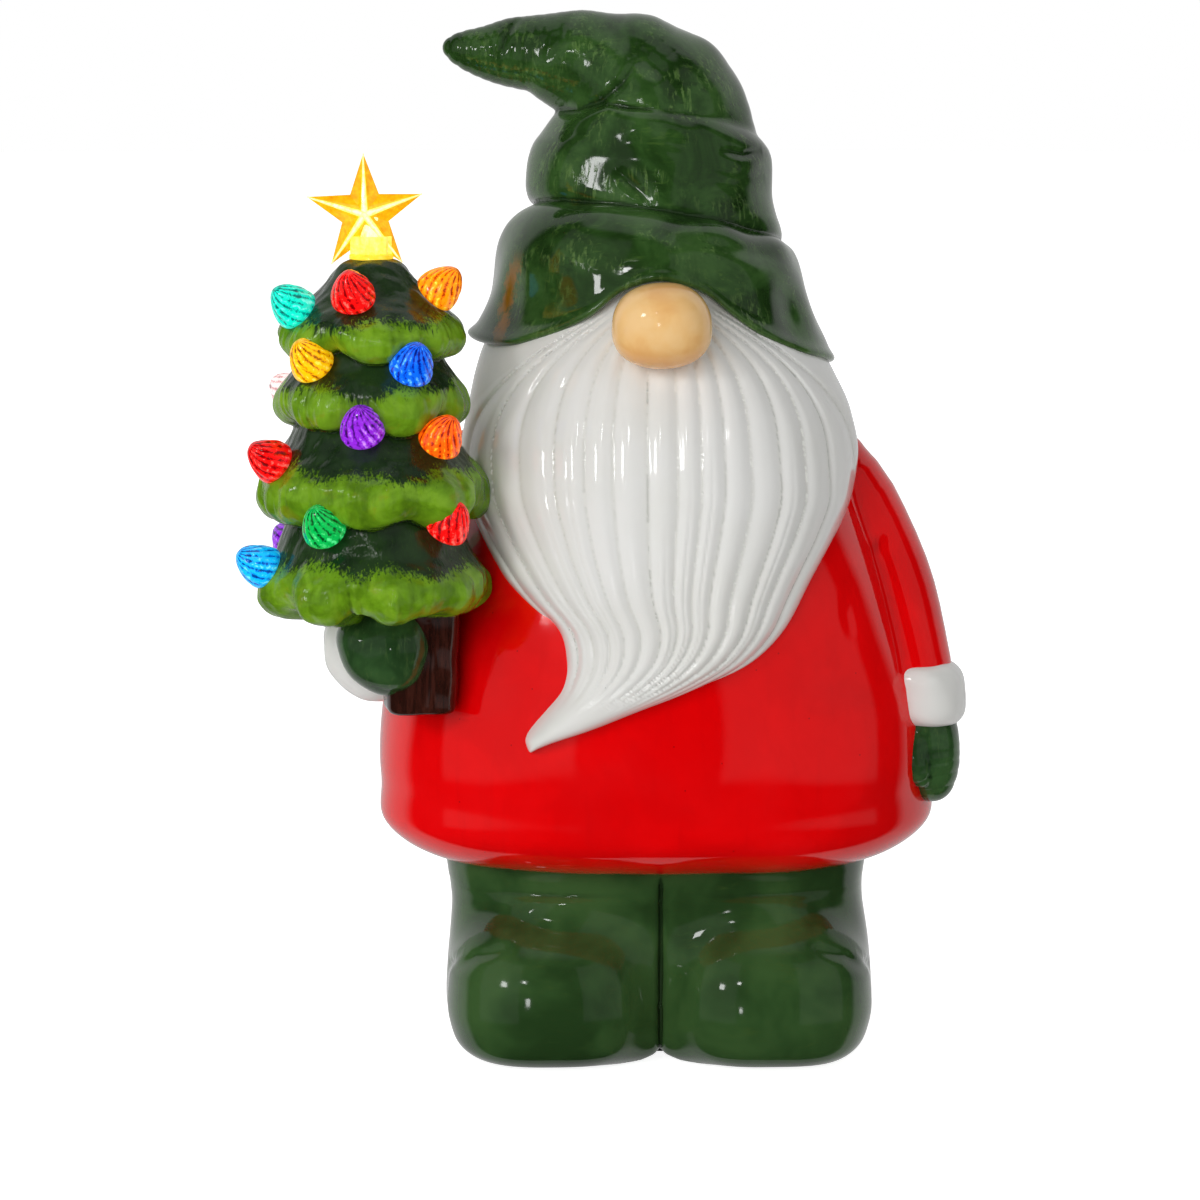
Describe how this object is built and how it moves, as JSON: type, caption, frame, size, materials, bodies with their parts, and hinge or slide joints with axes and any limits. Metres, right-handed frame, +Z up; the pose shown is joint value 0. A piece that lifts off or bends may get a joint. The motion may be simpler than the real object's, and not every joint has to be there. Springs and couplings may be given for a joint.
{
  "type": "lit ceramic gnome figurine",
  "caption": "Glazed ceramic gnome in a drooping hat and long coat, holding a small ceramic tree lit from inside by a battery lamp strip through coloured bulbs.",
  "frame": {"origin": "middle of the overall bounding box in plan, on the surface the foot pads rest on", "axes": "+Z up, +X towards the viewer's right (the figure's left hand), -Y the way the figure faces"},
  "size_m": [0.2358, 0.1711, 0.3424],
  "materials": {
    "board_laminate": "solder mask",
    "bulb_amber": "translucent, lit from inside",
    "bulb_azure": "translucent, lit from inside",
    "bulb_blue": "translucent, lit from inside",
    "bulb_clear": "translucent, lit from inside",
    "bulb_green": "translucent, lit from inside",
    "bulb_orange": "translucent, lit from inside",
    "bulb_purple": "translucent, lit from inside",
    "bulb_red": "translucent, lit from inside",
    "bulb_teal": "translucent, lit from inside",
    "bulb_yellow": "translucent, lit from inside",
    "case_plastic": "fine moulded texture",
    "cell_jacket": "printed sleeve, no text",
    "component_plastic": "moulded",
    "door_plastic": "fine moulded texture",
    "foliage_glaze": "gloss green glaze, yellow-green at the branch tips",
    "green_glaze": "gloss green glaze, brushed",
    "holder_plastic": "moulded",
    "lamp_plastic": "lit warm white",
    "lead_black": "wire insulation",
    "lead_red": "wire insulation",
    "nose_glaze": "gloss peach glaze",
    "pad_rubber": "matt, soft",
    "red_glaze": "gloss red glaze",
    "screw_steel": "zinc plated",
    "seal_rubber": "foam strip",
    "slider_plastic": "satin",
    "spring_steel": "nickel plated",
    "star_plastic": "translucent, lit from inside",
    "switch_steel": "stamped",
    "trunk_glaze": "gloss dark brown glaze",
    "white_glaze": "gloss off-white glaze"
  },
  "bodies": {
    "figure": {"battery_case": "case_plastic", "battery_cell_1": "cell_jacket", "battery_cell_2": "cell_jacket", "battery_cell_3": "cell_jacket", "beard": "white_glaze", "board_components": "component_plastic", "board_screws": "screw_steel", "boots_and_trousers": "green_glaze", "bulb_amber_1": "bulb_amber", "bulb_amber_2": "bulb_amber", "bulb_azure_1": "bulb_azure", "bulb_azure_2": "bulb_azure", "bulb_blue_1": "bulb_blue", "bulb_clear_1": "bulb_clear", "bulb_green_1": "bulb_green", "bulb_green_2": "bulb_green", "bulb_orange_1": "bulb_orange", "bulb_purple_1": "bulb_purple", "bulb_purple_2": "bulb_purple", "bulb_red_1": "bulb_red", "bulb_red_2": "bulb_red", "bulb_red_3": "bulb_red", "bulb_teal_1": "bulb_teal", "bulb_teal_2": "bulb_teal", "bulb_yellow_1": "bulb_yellow", "bulb_yellow_2": "bulb_yellow", "case_seal": "seal_rubber", "coat": "red_glaze", "contact_plates": "spring_steel", "contact_springs": "spring_steel", "foot_pads": "pad_rubber", "hat": "green_glaze", "lamp_board": "board_laminate", "lamp_board_holder": "holder_plastic", "lamps": "lamp_plastic", "lead_negative": "lead_black", "lead_positive": "lead_red", "left_cuff": "white_glaze", "left_mitten": "green_glaze", "left_sleeve": "red_glaze", "nose": "nose_glaze", "right_cuff": "white_glaze", "right_mitten": "green_glaze", "right_sleeve": "red_glaze", "star_topper": "star_plastic", "switch_housing": "switch_steel", "timer_board": "board_laminate", "tree_foliage": "foliage_glaze", "tree_trunk": "trunk_glaze"},
    "battery_door": {"battery_door": "door_plastic"},
    "door_screw": {"door_screw": "screw_steel"},
    "switch_slider": {"switch_slider": "slider_plastic"}
  },
  "joints": [
    {"name": "door_hinge", "type": "hinge", "parent": "figure", "child": "battery_door", "pos_m": [-0.02423, 0.01504, 0.0033], "axis": [0, 1, 0], "range_deg": [0, 95]},
    {"name": "door_screw_turn", "type": "hinge", "parent": "battery_door", "child": "door_screw", "pos_m": [0.04117, 0.01504, 0.003], "axis": [0, 0, 1], "continuous": true},
    {"name": "switch_slide", "type": "slide", "parent": "figure", "child": "switch_slider", "axis": [0, 1, 0], "range_m": [-0.0025, 0.0025]}
  ]
}
